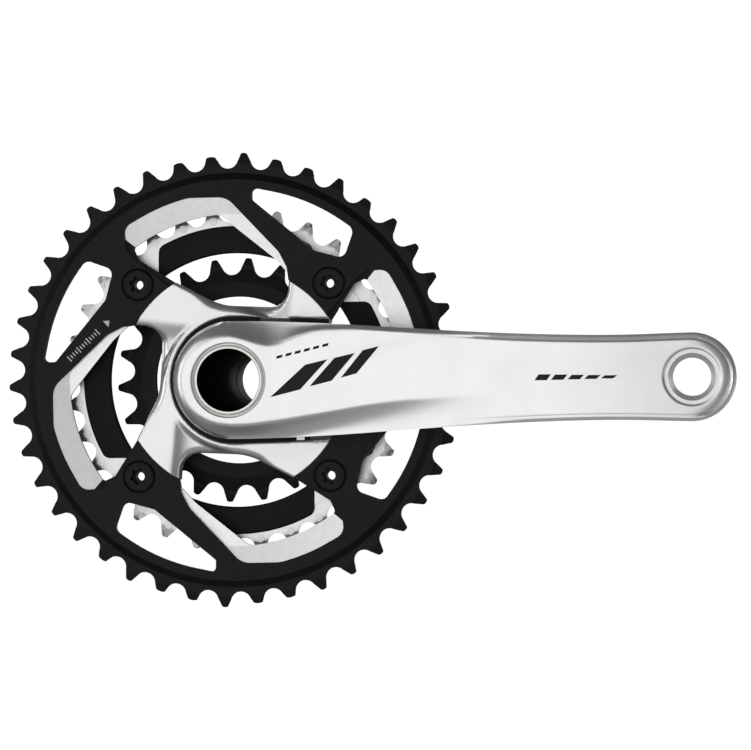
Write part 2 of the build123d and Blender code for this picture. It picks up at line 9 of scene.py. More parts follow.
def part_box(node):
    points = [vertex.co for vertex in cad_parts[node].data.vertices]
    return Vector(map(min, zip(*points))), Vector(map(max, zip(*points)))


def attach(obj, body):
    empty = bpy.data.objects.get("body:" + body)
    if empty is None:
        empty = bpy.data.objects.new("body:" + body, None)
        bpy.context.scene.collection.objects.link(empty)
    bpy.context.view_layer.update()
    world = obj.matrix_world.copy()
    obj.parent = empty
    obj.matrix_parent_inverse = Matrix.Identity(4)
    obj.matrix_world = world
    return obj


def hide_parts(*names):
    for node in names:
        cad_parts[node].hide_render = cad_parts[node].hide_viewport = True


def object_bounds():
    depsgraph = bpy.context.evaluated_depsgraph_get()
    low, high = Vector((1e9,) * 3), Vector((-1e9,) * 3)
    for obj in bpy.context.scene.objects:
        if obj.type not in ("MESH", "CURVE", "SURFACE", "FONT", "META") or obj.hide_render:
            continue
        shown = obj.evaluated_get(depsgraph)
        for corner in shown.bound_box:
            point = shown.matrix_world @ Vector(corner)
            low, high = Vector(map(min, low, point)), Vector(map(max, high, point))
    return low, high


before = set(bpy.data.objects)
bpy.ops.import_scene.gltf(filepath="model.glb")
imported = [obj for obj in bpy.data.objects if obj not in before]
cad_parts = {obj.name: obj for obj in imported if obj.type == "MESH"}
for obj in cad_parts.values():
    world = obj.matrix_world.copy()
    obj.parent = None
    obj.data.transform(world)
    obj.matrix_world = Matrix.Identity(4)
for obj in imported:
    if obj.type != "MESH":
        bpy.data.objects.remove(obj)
cad_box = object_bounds()

# ---- places worked out from the frame ----------------------------------------
MM = 0.001
ring_low, ring_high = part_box("outer_chainring")
ring_front = ring_low[1]
ring_plane = Vector((0, (ring_low[1] + ring_high[1]) / 2, 0))


# ---- camera ------------------------------------------------------------------
def set_camera():
    """Long lens, almost square to the rings, a little from the pedal side."""
    distance, across, up = 1.61, 0.05405, 0.00153
    yaw, roll = math.radians(4.8), math.radians(-0.43)
    sensor_width, focal_length, far_end = 36, 201.6, 20
    view = Vector((-math.sin(yaw), math.cos(yaw), 0))
    right = Vector((math.cos(yaw), math.sin(yaw), 0))
    data = bpy.data.cameras.new("camera")
    data.sensor_width = sensor_width
    data.lens = focal_length
    data.clip_end = far_end
    camera = bpy.data.objects.new("camera", data)
    bpy.context.scene.collection.objects.link(camera)
    lift = Vector((0, 0, 1))
    axes = Matrix((right, lift, -view)).transposed().to_4x4()
    place = ring_plane - view * distance + right * across + lift * up
    camera.matrix_world = Matrix.Translation(place) @ axes @ Matrix.Rotation(roll, 4, "Z")
    bpy.context.scene.camera = camera


# ---- light and floor ---------------------------------------------------------
# Each light's name, place, the point it faces, its width and height, and its power.
LIGHTS = [
    ("front_card", (-0.46, -2.3, -0.04), (0.05, -0.06, 0), (1.8, 1.7), 13.3),
    ("top_left", (-1.0, -1.2, 1.0), (0.0, -0.06, 0), (0.5, 0.9), 3.0),
    ("left_strip", (-1.7, -1.0, 0.1), (-0.02, -0.06, 0), (0.5, 1.2), 7.0),
    ("low_fill", (0.1, -1.0, -1.3), (0.0, -0.06, 0), (2.0, 1.5), 2.0),
    ("right_edge", (1.3, -0.9, -0.5), (0.1, -0.06, 0), (0.3, 0.9), 1.5),
    ("right_side", (1.8, 0.1, 0.5), (0.0, 0.0, 0), (1.0, 1.0), 5.0),
    ("back_left", (-0.9, 1.1, 0.9), (0.0, 0.0, 0), (1.2, 1.2), 12),
    ("back_right", (1.0, 1.1, 0.3), (0.05, 0.0, 0), (1.2, 1.2), 9),
]
ROOM_LIGHT = 0.10


def area_light(name, place, target, size, power):
    data = bpy.data.lights.new(name, "AREA")
    data.shape = "RECTANGLE"
    data.size, data.size_y = size
    data.energy = power
    light = bpy.data.objects.new(name, data)
    bpy.context.scene.collection.objects.link(light)
    light.location = place
    aim = Vector(target) - Vector(place)
    light.rotation_euler = aim.to_track_quat("-Z", "Y").to_euler()
    light.visible_camera = False


def set_lights():
    """A dim room with one broad soft card behind the camera and soft edge and back lights."""
    world = bpy.data.worlds.new("studio")
    world.use_nodes = True
    background = world.node_tree.nodes["Background"]
    background.inputs["Color"].default_value = (1, 1, 1, 1)
    background.inputs["Strength"].default_value = ROOM_LIGHT
    bpy.context.scene.world = world
    for light in LIGHTS:
        area_light(*light)


def set_stage():
    """Bright pale round floor that curves up into a wall; it lights nothing but the view."""
    mesh = bpy.data.meshes.new("stage")
    bm = bmesh.new()
    gap_below, wall_top = 0.11, 4.0
    middle, reach, bend = 0.4, 3.6, 0.5
    turns, bend_steps = 48, 12
    floor_z = cad_box[0][2] - gap_below
    profile = [(middle, floor_z)]
    for k in range(bend_steps + 1):
        a = math.radians(90 * k / bend_steps)
        profile.append((reach - bend + bend * math.sin(a), floor_z + bend - bend * math.cos(a)))
    profile.append((reach, wall_top))
    rows = []
    for k in range(turns):
        a = 2 * math.pi * k / turns
        rows.append([bm.verts.new((r * math.cos(a), r * math.sin(a), z)) for r, z in profile])
    bm.faces.new([row[0] for row in rows])
    for k in range(turns):
        here, after = rows[k], rows[(k + 1) % turns]
        for i in range(len(profile) - 1):
            bm.faces.new((here[i], after[i], after[i + 1], here[i + 1]))
    for face in bm.faces:
        face.smooth = True
    bm.to_mesh(mesh)
    stage = bpy.data.objects.new("stage", mesh)
    bpy.context.scene.collection.objects.link(stage)
    stage.data.materials.append(stage_material())
    stage.visible_diffuse = False
    stage.visible_glossy = False
    stage.visible_shadow = False


# ---- materials ---------------------------------------------------------------
class Nodes:
    """Short calls for building one material's node tree."""

    def __init__(self, name):
        self.material = bpy.data.materials.new(name)
        self.material.use_nodes = True
        self.tree = self.material.node_tree
        self.tree.nodes.clear()
        self.shader = self.new("ShaderNodeBsdfPrincipled")
        output = self.new("ShaderNodeOutputMaterial")
        self.link(self.shader.outputs["BSDF"], output.inputs["Surface"])
        self.place = self.new("ShaderNodeTexCoord").outputs["Object"]

    def new(self, kind, **settings):
        node = self.tree.nodes.new(kind)
        for key, value in settings.items():
            setattr(node, key, value)
        return node

    def link(self, source, target):
        self.tree.links.new(source, target)

    def feed(self, target, value):
        if isinstance(value, bpy.types.NodeSocket):
            self.link(value, target)
        else:
            target.default_value = value

    def set(self, **values):
        for key, value in values.items():
            self.feed(self.shader.inputs[key.replace("_", " ")], value)

    def math(self, operation, a, b=0.0, c=0.0, clamp=False):
        node = self.new("ShaderNodeMath", operation=operation, use_clamp=clamp)
        for socket, value in zip(node.inputs, (a, b, c)):
            self.feed(socket, value)
        return node.outputs[0]

    def both(self, *factors):
        """Product of masks that are 0 or 1."""
        result = factors[0]
        for factor in factors[1:]:
            result = self.math("MULTIPLY", result, factor)
        return result

    def from_axle(self, x, z):
        """Distance from the axle's centre line."""
        squares = self.math("ADD", self.math("MULTIPLY", x, x), self.math("MULTIPLY", z, z))
        return self.math("SQRT", squares)

    def facing(self):
        """How far the surface faces the back: -1 where it faces the front squarely."""
        return self.xyz(self.new("ShaderNodeTexCoord").outputs["Normal"])[1]

    def xyz(self, vector=None):
        node = self.new("ShaderNodeSeparateXYZ")
        self.link(vector or self.place, node.inputs[0])
        return node.outputs

    def noise(self, scale, detail=3.0, stretch=None):
        node = self.new("ShaderNodeTexNoise")
        vector = self.place
        if stretch:
            mapping = self.new("ShaderNodeMapping")
            mapping.inputs["Scale"].default_value = stretch
            self.link(vector, mapping.inputs["Vector"])
            vector = mapping.outputs[0]
        self.link(vector, node.inputs["Vector"])
        node.inputs["Scale"].default_value = scale
        node.inputs["Detail"].default_value = detail
        return node.outputs["Fac"]

    def ramp(self, value, low, high, start=0.3, end=0.7):
        node = self.new("ShaderNodeMapRange", clamp=True)
        self.link(value, node.inputs["Value"])
        node.inputs["From Min"].default_value = start
        node.inputs["From Max"].default_value = end
        node.inputs["To Min"].default_value = low
        node.inputs["To Max"].default_value = high
        return node.outputs[0]

    def mix(self, factor, a, b):
        node = self.new("ShaderNodeMix", data_type="RGBA")
        self.feed(node.inputs["Factor"], factor)
        self.feed(node.inputs["A"], a)
        self.feed(node.inputs["B"], b)
        return node.outputs["Result"]

    def mottled(self, pattern, dark, light):
        return self.mix(self.ramp(pattern, 0.0, 1.0), dark, light)

    def bump(self, height, distance, strength=1.0):
        node = self.new("ShaderNodeBump")
        self.link(height, node.inputs["Height"])
        node.inputs["Distance"].default_value = distance
        node.inputs["Strength"].default_value = strength
        return node.outputs["Normal"]


DARK_GLOSS, PLASTIC_GLOSS, STAGE_GLOSS = 0.14, 0.22, 0.1
INK_BLACK = 0.006
SATIN_METALLIC = 0.92

# Fineness of each surface's grain, in cycles per metre, and the depth its bump gives it.
BLASTED, ANODISED, STEEL, MOULDED, FIBRES, SCUFFS = 9000.0, 7000.0, 3000.0, 2500.0, 1500.0, 420.0
METAL_DEPTH, MOULDED_DEPTH, SCUFF_DEPTH, TOOL_DEPTH = 0.00001, 0.00002, 0.00006, 0.000004


def grey(value, warm=0.0):
    return (value * (1 + warm), value, value * (1 - warm), 1)


def stage_material():
    m = Nodes("pale_stage")
    cloud = m.noise(3.0)
    m.set(Base_Color=m.mottled(cloud, grey(0.90), grey(0.94)), Roughness=0.9,
          Emission_Color=grey(1.0), Emission_Strength=0.9, Specular_IOR_Level=STAGE_GLOSS)
    return m.material


def satin_aluminium(name, light, dark, roughness, with_painted_gap_shade=False):
    """Fine bead-blasted, clear-anodised aluminium; for the spider, the pocket floor is painted
    black as painted shade in the deep gap round the arm.
    """
    m = Nodes(name)
    grain = m.noise(BLASTED, 2.0)
    cloud = m.noise(60.0)
    colour = m.mottled(cloud, dark, light)
    metallic = SATIN_METALLIC
    if with_painted_gap_shade:
        # Painted shade: where the pocket floor round the arm faces square on at the floor's depth,
        # it is painted near black and not metallic, for the shade in the deep gap.
        x, y, z = m.xyz()
        level, square_on = 0.03, -0.95
        half_channel, hub_reach = POCKET_R - 0.3, POCKET_R + 0.1
        depth = m.math("ABSOLUTE", m.math("SUBTRACT", y, POCKET_FLOOR * MM))
        beside = m.both(m.math("GREATER_THAN", x, 0.0),
                        m.math("LESS_THAN", m.math("ABSOLUTE", z), half_channel * MM))
        round_hub = m.math("LESS_THAN", m.from_axle(x, z), hub_reach * MM)
        painted_pocket_shade = m.both(m.math("LESS_THAN", depth, level * MM),
                       m.math("LESS_THAN", m.facing(), square_on),
                       m.math("MAXIMUM", round_hub, beside))
        colour = m.mix(painted_pocket_shade, colour, grey(INK_BLACK))
        metallic = m.math("MULTIPLY", m.math("SUBTRACT", 1.0, painted_pocket_shade), SATIN_METALLIC)
    m.set(Base_Color=colour,
          Metallic=metallic, Roughness=m.ramp(grain, roughness - 0.04, roughness + 0.05),
          Normal=m.bump(grain, METAL_DEPTH, 0.35))
    return m.material


def black_anodised(name, value=INK_BLACK, roughness=0.42):
    m = Nodes(name)
    grain = m.noise(ANODISED, 2.0)
    cloud = m.noise(90.0)
    m.set(Base_Color=m.mottled(cloud, grey(value * 0.8), grey(value * 1.25)),
          Metallic=0.0, Roughness=m.ramp(grain, roughness - 0.05, roughness + 0.06),
          Normal=m.bump(grain, METAL_DEPTH, 0.3), Specular_IOR_Level=DARK_GLOSS)
    return m.material


def outer_ring_material():
    """Black anodising with bare machined bands sloping into the windows."""
    slope_start, slope_end, slope_reach, slope_tilt = 0.12, 2.0, 73.2, -0.6
    lip_slant, lip_width, lip_height = (0.64, 0.77), 15.2, 31.0
    m = Nodes("outer_ring_finish")
    x, y, z = m.xyz()
    radius = m.from_axle(x, z)
    mask = m.both(m.math("GREATER_THAN", y, ring_front + slope_start * MM),
                  m.math("LESS_THAN", radius, slope_reach * MM),
                  m.math("LESS_THAN", m.facing(), slope_tilt),
                  m.math("LESS_THAN", y, ring_front + slope_end * MM))
    minus_x, minus_z = m.math("MULTIPLY", x, -1.0), m.math("MULTIPLY", z, -1.0)
    for u, v in ((x, z), (z, minus_x), (minus_x, minus_z), (minus_z, x)):
        across = m.math("ADD", m.math("MULTIPLY", u, lip_slant[0]),
                        m.math("MULTIPLY", v, lip_slant[1]))
        inner_lip = m.both(m.math("GREATER_THAN", v, lip_height * MM),
                           m.math("LESS_THAN", across, lip_width * MM))
        mask = m.both(mask, m.math("SUBTRACT", 1.0, inner_lip))
    grain = m.noise(ANODISED, 2.0)
    cloud = m.noise(1.0, 2.0, (400, 400, 400))
    tool_lines = m.math("SINE", m.math("MULTIPLY", radius, 24000.0))
    black = m.mottled(cloud, grey(0.005), grey(0.008))
    silver = m.mottled(cloud, grey(0.80, 0.005), grey(0.86, 0.005))
    m.set(Base_Color=m.mix(mask, black, silver),
          Metallic=m.math("MULTIPLY", mask, 0.85),
          Roughness=m.ramp(grain, 0.34, 0.44),
          Normal=m.bump(tool_lines, TOOL_DEPTH, 0.25), Specular_IOR_Level=DARK_GLOSS)
    return m.material


def steel(name, light, dark, roughness, metallic=0.9):
    m = Nodes(name)
    grain = m.noise(STEEL, 3.0)
    cloud = m.noise(140.0)
    m.set(Base_Color=m.mottled(cloud, dark, light), Metallic=metallic,
          Roughness=m.ramp(grain, roughness - 0.06, roughness + 0.06),
          Normal=m.bump(grain, METAL_DEPTH, 0.25))
    return m.material


def tooth_steel(name, tooth_root, tooth_tip):
    """Blasted steel: clean at the rivets, with painted shade darkening it towards the tooth tips in
    random patches.
    """
    m = Nodes(name)
    x, _, z = m.xyz()
    outward = m.ramp(m.from_axle(x, z), 0.0, 1.0, tooth_root * MM, tooth_tip * MM)
    grain = m.noise(STEEL, 3.0)
    scuff = m.noise(SCUFFS, 4.0)
    # Painted shade: the colour darkens towards the tooth tips in random patches, standing in for
    # the shade on the tooth ramps.
    tip_shade_and_scuffs = m.math("MULTIPLY", outward, m.ramp(scuff, 0.25, 1.0, 0.42, 0.58), clamp=True)
    m.set(Base_Color=m.mix(tip_shade_and_scuffs, grey(0.76, 0.0), grey(0.10, 0.0)), Metallic=0.85,
          Roughness=m.ramp(grain, 0.3, 0.44), Normal=m.bump(scuff, SCUFF_DEPTH, 0.5))
    return m.material


def composite(name):
    """Fibre-filled moulding: near black with a faint fleck."""
    m = Nodes(name)
    fleck = m.noise(FIBRES, 4.0)
    m.set(Base_Color=m.mix(m.ramp(fleck, 0.0, 1.0, 0.45, 0.62), grey(0.005), grey(0.010)),
          Roughness=m.ramp(fleck, 0.42, 0.6), Normal=m.bump(fleck, MOULDED_DEPTH, 0.4),
          Specular_IOR_Level=DARK_GLOSS)
    return m.material


def plastic(name, colour, roughness=0.5):
    m = Nodes(name)
    grain = m.noise(MOULDED, 2.0)
    tint = tuple(c * 1.3 for c in colour[:3]) + (1,)
    m.set(Base_Color=m.mottled(grain, colour, tint),
          Roughness=m.ramp(grain, roughness - 0.06, roughness + 0.08),
          Normal=m.bump(grain, MOULDED_DEPTH, 0.3), Specular_IOR_Level=PLASTIC_GLOSS)
    return m.material


def axle_material():
    """Nickel-plated steel with a thin dark line painted in its rim as the shade of a groove; the
    bore is painted near black as painted shade and made rougher, with two faint lighter rings.
    """
    bore_r, groove_r, groove_width = 11.86, 12.75, 0.13
    rings = ((-17.0, 0.5), (-12.5, 0.4))
    m = Nodes("axle_nickel")
    x, y, z = m.xyz()
    radius = m.from_axle(x, z)
    # Painted shade: inside the bore the colour is near black and not metallic, for the shade deep
    # in the hollow axle.
    bore = m.math("LESS_THAN", radius, bore_r * MM)
    grain = m.noise(STEEL, 3.0)
    cloud = m.noise(140.0)
    bright = m.mottled(cloud, (0.60, 0.585, 0.55, 1), (0.68, 0.66, 0.62, 1))
    # Painted shade: a thin dark line on the rim stands in for the shade in a groove that the mesh
    # lacks.
    groove = m.math("COMPARE", radius, groove_r * MM, groove_width * MM)
    bright = m.mix(m.math("MULTIPLY", groove, 0.8), bright, (0.10, 0.095, 0.09, 1))
    painted_bore_shade = m.mottled(cloud, (0.004, 0.0037, 0.003, 1), (0.007, 0.0065, 0.0055, 1))
    first, second = (m.math("COMPARE", y, at * MM, width * MM) for at, width in rings)
    step = m.math("MAXIMUM", first, second)
    painted_bore_shade = m.mix(m.math("MULTIPLY", step, 0.8), painted_bore_shade, (0.045, 0.042, 0.036, 1))
    m.set(Base_Color=m.mix(bore, bright, painted_bore_shade),
          Metallic=m.math("SUBTRACT", 1.0, bore),
          Roughness=m.math("ADD", m.ramp(grain, 0.24, 0.36), m.math("MULTIPLY", bore, 0.35)),
          Normal=m.bump(grain, METAL_DEPTH, 0.25), Specular_IOR_Level=DARK_GLOSS)
    return m.material


def dress(nodes, material):
    for name in nodes:
        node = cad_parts[name]
        if not node.material_slots:
            node.data.materials.append(material)
        for slot in node.material_slots:
            slot.material = material


def set_materials():
    arm = satin_aluminium("arm_silver", grey(0.82, -0.006), grey(0.77, -0.006), 0.36)
    # The spider's pocket floor is painted black here as painted shade.
    spider = satin_aluminium("spider_silver", grey(0.75, -0.008), grey(0.70, -0.008), 0.34, True)
    dress(["crank_arm"], arm)
    make_marks(make_arm(arm))
    dress(["spider"], spider)
    make_seam(make_spider(spider), plastic("gap_shade_black", grey(0.004), 0.6), spider)
    dress(["axle"], axle_material())
    dress(["outer_chainring"], outer_ring_material())
    dress(["middle_chainring"], tooth_steel("ring_steel", 61.0, 66.0))
    dress(["middle_ring_pins", "outer_ring_shift_pins", "chain_drop_pin"],
          steel("pin_steel", grey(0.6), grey(0.5), 0.3))
    dress(["middle_ring_carrier"], composite("carrier_black"))
    dress(["inner_chainring"], black_anodised("inner_ring_black"))
    dress(["outer_ring_bolts", "outer_ring_nuts"], black_anodised("bolt_black", INK_BLACK, 0.34))
    dress(["inner_ring_bolts"], steel("bolt_steel", grey(0.42), grey(0.34), 0.32))
    dress(["right_cup", "left_cup"], black_anodised("cup_grey", 0.05, 0.38))
    dress(["right_inner_race", "left_inner_race", "right_outer_race", "left_outer_race",
           "right_balls", "left_balls"], steel("bearing_steel", grey(0.68), grey(0.6), 0.16, 1.0))
    dress(["right_ball_cage", "left_ball_cage"], plastic("cage_nylon", (0.42, 0.34, 0.19, 1)))
    dress(["right_bearing_seals", "left_bearing_seals", "sleeve_seals"],
          plastic("seal_rubber", grey(0.012), 0.7))
    dress(["right_bearing_sleeve", "left_bearing_sleeve", "shell_spacer", "centre_sleeve"],
          plastic("black_nylon", grey(0.02), 0.45))


# ---- mesh helpers: every length in millimetres until the mesh is made ---------
def curve(x, knots, ends=None):
    """Smooth curve through (place, value) knots; level beyond both ends."""
    kx = np.array([k[0] for k in knots], float)
    ky = np.array([k[1] for k in knots], float)
    slope = np.gradient(ky, kx)
    slope[0], slope[-1] = ends or (0.0, 0.0)
    x = np.clip(np.asarray(x, float), kx[0], kx[-1])
    k = np.clip(np.searchsorted(kx, x, side="right") - 1, 0, len(kx) - 2)
    step = kx[k + 1] - kx[k]
    t = (x - kx[k]) / step
    return (ky[k] * (1 + 2 * t) * (1 - t) ** 2 + slope[k] * step * t * (1 - t) ** 2
            + ky[k + 1] * t * t * (3 - 2 * t) - slope[k + 1] * step * t * t * (1 - t))


def ease(t):
    """Smooth step from 0 to 1."""
    t = np.clip(t, 0, 1)
    return t * t * (3 - 2 * t)


def fade(x, none, full):
    """Smooth step from 0 where x is none to 1 where it is full."""
    return ease((x - none) / (full - none))


def soft_positive(s, width):
    """The positive part of s, rounded over about width at zero."""
    return (np.sqrt(s * s + width * width) + s) / 2


def circle_loop(r, cx=0.0, step=0.8, start=0.0):
    count = max(24, int(2 * math.pi * r / step))
    a = start + np.arange(count) * 2 * math.pi / count
    return np.stack([cx + r * np.cos(a), r * np.sin(a)], 1)


def path_distance(points, path):
    """Distance from each point to an open path."""
    best = np.full(len(points), 1e9)
    for a, b in zip(path[:-1], path[1:]):
        along = b - a
        t = np.clip(((points - a) @ along) / max(along @ along, 1e-12), 0, 1)
        gap = points - a - t[:, None] * along
        best = np.minimum(best, np.einsum("ij,ij->i", gap, gap))
    return np.sqrt(best)


def distance_to(points, loop):
    """Distance from each point to a closed loop."""
    return path_distance(points, np.concatenate([loop, loop[:1]]))


def inside(points, loop):
    """True for each point that a closed loop holds."""
    result = np.zeros(len(points), bool)
    x, y = points[:, 0], points[:, 1]
    ends = np.roll(loop, -1, 0)
    for (ax, ay), (bx, by) in zip(loop, ends):
        if ay != by:
            cross = (ay > y) != (by > y)
            result ^= cross & (x < (bx - ax) * (y - ay) / (by - ay) + ax)
    return result


def offset_loop(loop, gap):
    """Loop moved inwards by gap; the loop runs anticlockwise round what it holds."""
    along = np.roll(loop, -1, 0) - np.roll(loop, 1, 0)
    along /= np.linalg.norm(along, axis=1)[:, None]
    return loop + gap * np.stack([-along[:, 1], along[:, 0]], 1)


def sheet(outer, holes, rings, spacing, rails=()):
    """Triangles between an outer loop and its holes: fine near edges, even inside."""
    row_step, clear = 0.87 * spacing, 0.35 * spacing
    points = [outer] + list(holes)
    for gap in rings:
        moved = offset_loop(outer, gap)
        keep = inside(moved, outer) & (np.abs(distance_to(moved, outer) - gap) < 0.04)
        points.append(moved[keep])
    low, high = outer.min(0), outer.max(0)
    gx, gz = np.meshgrid(np.arange(low[0], high[0], spacing),
                         np.arange(low[1], high[1], row_step))
    gx = gx + (np.arange(gx.shape[0]) % 2)[:, None] * spacing / 2
    grid = np.stack([gx.ravel(), gz.ravel()], 1)
    grid = grid[inside(grid, outer)]
    grid = grid[distance_to(grid, outer) > (rings[-1] if rings else 0) + 0.4 * spacing]
    for rail in rails:
        grid = grid[path_distance(grid, rail) > clear]
    points += [*rails, grid]
    cleared = points[:1 + len(holes)]
    for group in points[1 + len(holes):]:
        for hole in holes:
            group = group[~inside(group, hole)]
            group = group[distance_to(group, hole) > clear]
        cleared.append(group)
    edges, first = [], 0
    for loop in points[:1 + len(holes)]:
        count = len(loop)
        edges += [(first + k, first + (k + 1) % count) for k in range(count)]
        first += count
    cloud = np.concatenate(cleared)
    found = delaunay_2d_cdt([Vector(p) for p in cloud], edges, [], 1, 1e-5)
    verts = np.array([tuple(v) for v in found[0]])
    faces = np.array([tuple(f) for f in found[2]])
    middle = verts[faces].mean(1)
    keep = inside(middle, outer)
    for hole in holes:
        keep &= ~inside(middle, hole)
    return verts, faces[keep]


WELD = 0.002


class Shell:
    """Collects faces in millimetres and turns them into one welded piece."""

    def __init__(self):
        self.verts, self.faces = [], []

    def add(self, points, faces):
        first = len(self.verts)
        self.verts += [tuple(p) for p in points]
        self.faces += [tuple(first + i for i in face) for face in faces]

    def surface(self, flat, faces, heights):
        points = np.stack([flat[:, 0], heights, flat[:, 1]], 1)
        self.add(points, faces)

    def wall(self, sections):
        """Bands between closed loops given as (loop, y at each point or one y)."""
        rows = []
        for loop, y in sections:
            y = np.broadcast_to(np.asarray(y, float), (len(loop),))
            rows.append(np.stack([loop[:, 0], y, loop[:, 1]], 1))
        count = len(rows[0])
        faces = []
        for r in range(len(rows) - 1):
            for k in range(count):
                n = (k + 1) % count
                faces.append((r * count + k, r * count + n,
                              (r + 1) * count + n, (r + 1) * count + k))
        self.add(np.concatenate(rows), faces)

    def piece(self, name, material, sharp=32):
        bm = bmesh.new()
        made = [bm.verts.new(Vector(p) * MM) for p in self.verts]
        for face in self.faces:
            try:
                bm.faces.new([made[i] for i in face])
            except ValueError:
                pass
        bmesh.ops.remove_doubles(bm, verts=bm.verts, dist=WELD * MM)
        bmesh.ops.recalc_face_normals(bm, faces=bm.faces)
        for face in bm.faces:
            face.smooth = True
        mesh = bpy.data.meshes.new(name)
        bm.to_mesh(mesh)
        bm.free()
        mesh.set_sharp_from_angle(angle=math.radians(sharp))
        piece = bpy.data.objects.new(name, mesh)
        bpy.context.scene.collection.objects.link(piece)
        mesh.materials.append(material)
        return piece


# ---- crank arm ---------------------------------------------------------------
ARM = 175.0
HUB_R, EYE_R = 22.3, 16.57
HUB_FACE, EYE_FACE = -80.0, -89.0
RECESS_R, SOCKET_R, BORE_R, BOSS_R = 13.95, 13.3, 12.0, 19.0
RECESS_FLOOR, SOCKET_FLOOR, BOSS_END = -77.0, -62.0, -49.3
MOUTH_R, THREAD_R, THREAD_ROOT_R, RELIEF_R = 8.9, 7.14, 7.42, 7.3
THREAD_START, THREAD_LENGTH, THREAD_STEPS = -87.2, 10.6, 24
RIM_R, RIM_DEPTH, TUCK_DEPTH, CREASE_LIP = 16.9, 5.1, 7.0, 0.55
BEVEL, BEVEL_LIP, BACK_BEVEL = 1.6, 0.25, 1.4
FOLD_DEPTH, BOWL_DEPTH, STEP_DEPTH, BACK_SPOT_DEPTH = 0.4, 0.6, 0.35, 0.45
GROOVE_AT, GROOVE_WIDTH = 2.0, 0.4
EYE_RING_R, EYE_RING_WIDTH, EYE_RING_DEPTH = 10.5, 0.3, 0.22
PRINT_SLOPE = 0.243
HALF_WIDTH = [(0, 22.3), (40, 21.0), (67, 19.2), (92, 17.6), (118, 16.4), (146, 15.9),
              (ARM, EYE_R)]
FRONT = [(14, HUB_FACE), (50, -82.0), (95, -85.6), (135, -88.4), (158, EYE_FACE)]
BACK = [(34, -62.1), (62, -66.0), (90, -70.2), (125, -74.4), (155, -75.6)]
UPPER_CREASE = [(0, 16.9), (6, 15.6), (11, 13.9), (15.5, 13.0), (19.5, 13.6), (24, 15.6),
                (28.5, 17.4), (33, 18.7), (40, 19.4)]
UPPER_DEPTH = [(0, 5.1), (12, 5.0), (20, 4.2), (28, 3.0), (34, 2.1), (42, 1.6), (60, 0.0)]
LOWER_CREASE = [(0, 17.2), (8, 16.9), (16, 15.9), (28, 14.1), (41, 12.0), (53, 9.8),
                (66, 8.0), (85, 6.5), (97, 6.0), (120, 5.6)]
LOWER_DEPTH = [(0, 5.1), (20, 4.8), (41, 3.7), (60, 2.4), (85, 1.0), (105, 0.3), (122, 0.0)]

# Where the mesh has rows of points: in from the outline, and round the pedal eye.
FRONT_RINGS = (0.2, 0.5, 1.0, 1.4, 1.7, 2.0, 2.3, 2.6, 3.1)
BACK_RINGS = (0.35, 0.8, 1.3, 1.8)
EYE_RAILS = (9.4, 9.8, 10.1, 10.3, 10.5, 10.7, 10.9, 11.3, 12.1, 13.2)
SIDE_STEPS = 8


def half_width(x):
    """Half the arm's width at each place along it."""
    return curve(x, HALF_WIDTH, (0.0, 0.02))


def arm_loop():
    """Outline of the arm, anticlockwise as seen from the front."""
    steps = np.arange(0, ARM, 0.8)
    hub = np.radians(np.linspace(90, 270, 88, endpoint=False))
    eye = np.radians(np.linspace(-90, 90, 66, endpoint=False))
    left = np.stack([HUB_R * np.cos(hub), HUB_R * np.sin(hub)], 1)
    low = np.stack([steps, -half_width(steps)], 1)
    right = np.stack([ARM + EYE_R * np.cos(eye), EYE_R * np.sin(eye)], 1)
    back = ARM - steps
    high = np.stack([back, half_width(back)], 1)
    return np.concatenate([left, low, right, high])


